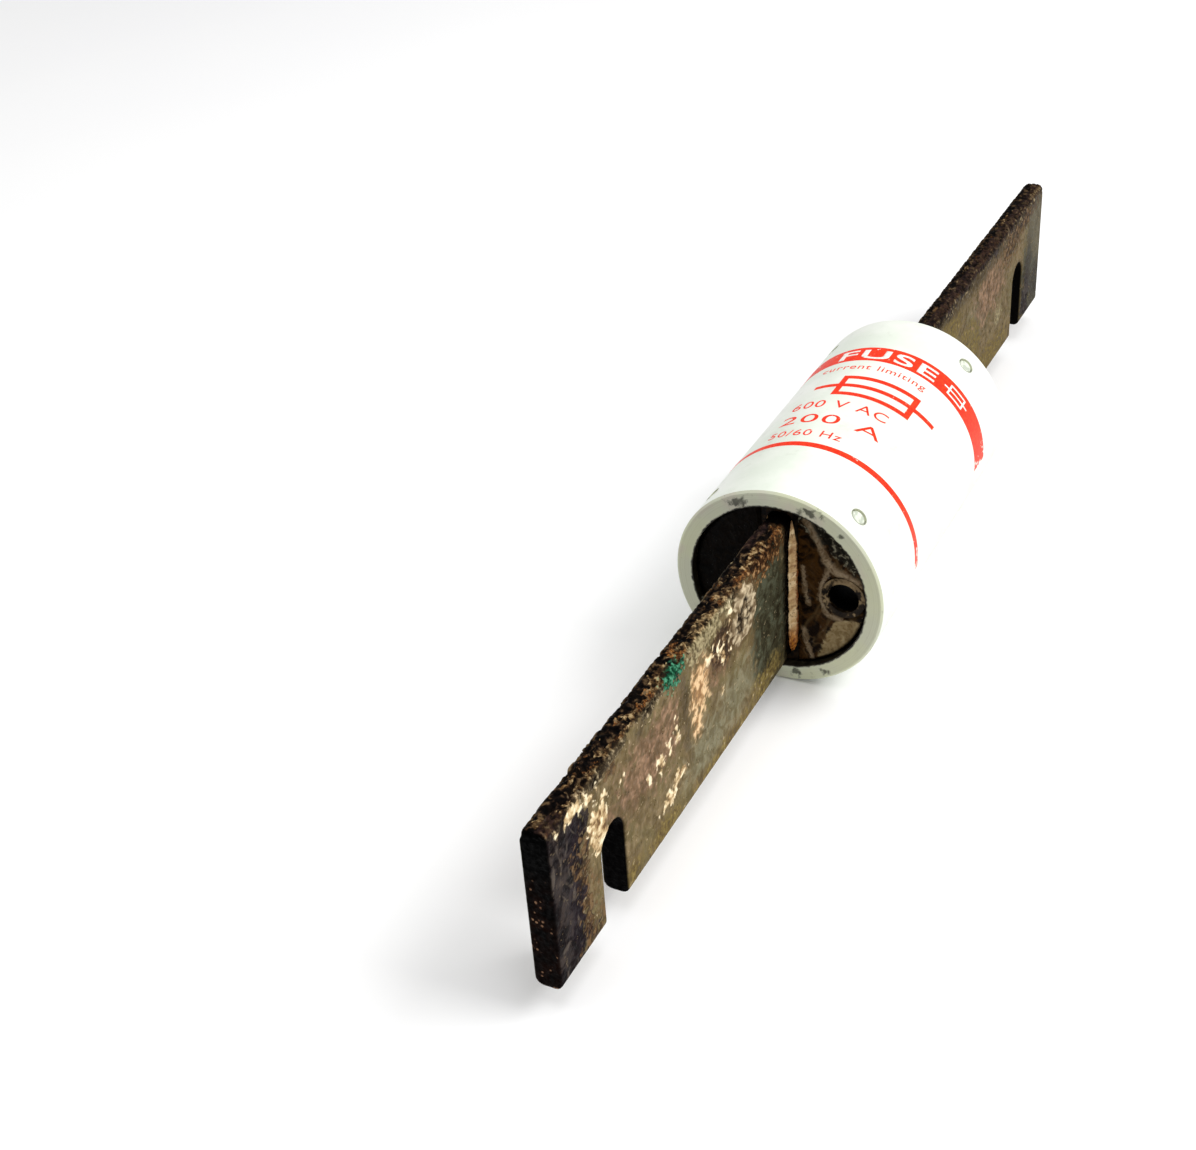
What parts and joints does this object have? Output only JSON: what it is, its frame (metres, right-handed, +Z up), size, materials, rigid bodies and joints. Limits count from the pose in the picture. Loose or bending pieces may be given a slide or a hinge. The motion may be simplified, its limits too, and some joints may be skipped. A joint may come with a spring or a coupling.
{
  "type": "tubular cartridge fuse with slotted blade terminals",
  "caption": "Bolt-in cartridge fuse: a short white insulating tube, closed by brazed end blocks, with long flat slotted blade terminals.",
  "frame": {"origin": "middle of the tube, on its axis", "axes": "+X runs along the tube from the left blade to the right blade, +Z up with both stud slots open downwards, and the blades' broad faces look along +Y and -Y"},
  "size_m": [0.2604, 0.0412, 0.0412],
  "materials": {
    "tube_laminate": "white glass-melamine laminate with a satin outside and a greenish cut edge",
    "oxidised_copper": "copper bar, dark brown with oxide, rust-orange crust and spots of green",
    "block_brass": "turned brass",
    "braze": "tan braze with a burnt orange lower end",
    "varnish": "glossy dark brown sealing varnish with beige streaks",
    "plug_brass": "varnished sheet brass",
    "fibre": "red vulcanised fibre",
    "pin_steel": "plated steel",
    "silver": "rolled silver strip",
    "solder": "low-melting tin solder",
    "quartz_sand": "packed silica sand"
  },
  "bodies": {
    "root": {"fuse_tube": "tube_laminate", "left_terminal_blade": "oxidised_copper", "right_terminal_blade": "oxidised_copper", "left_end_block": "block_brass", "right_end_block": "block_brass", "left_braze_fillets": "braze", "right_braze_fillets": "braze", "left_varnish_seal": "varnish", "right_varnish_seal": "varnish", "left_fill_plug": "plug_brass", "right_fill_plug": "plug_brass", "left_sealing_ring": "fibre", "right_sealing_ring": "fibre", "left_drive_pin_1": "pin_steel", "left_drive_pin_2": "pin_steel", "left_drive_pin_3": "pin_steel", "left_drive_pin_4": "pin_steel", "right_drive_pin_1": "pin_steel", "right_drive_pin_2": "pin_steel", "right_drive_pin_3": "pin_steel", "right_drive_pin_4": "pin_steel", "fuse_element_1": "silver", "fuse_element_2": "silver", "fuse_element_3": "silver", "fuse_element_4": "silver", "overload_bead_1": "solder", "overload_bead_2": "solder", "overload_bead_3": "solder", "overload_bead_4": "solder", "quartz_filler": "quartz_sand"}
  },
  "joints": []
}
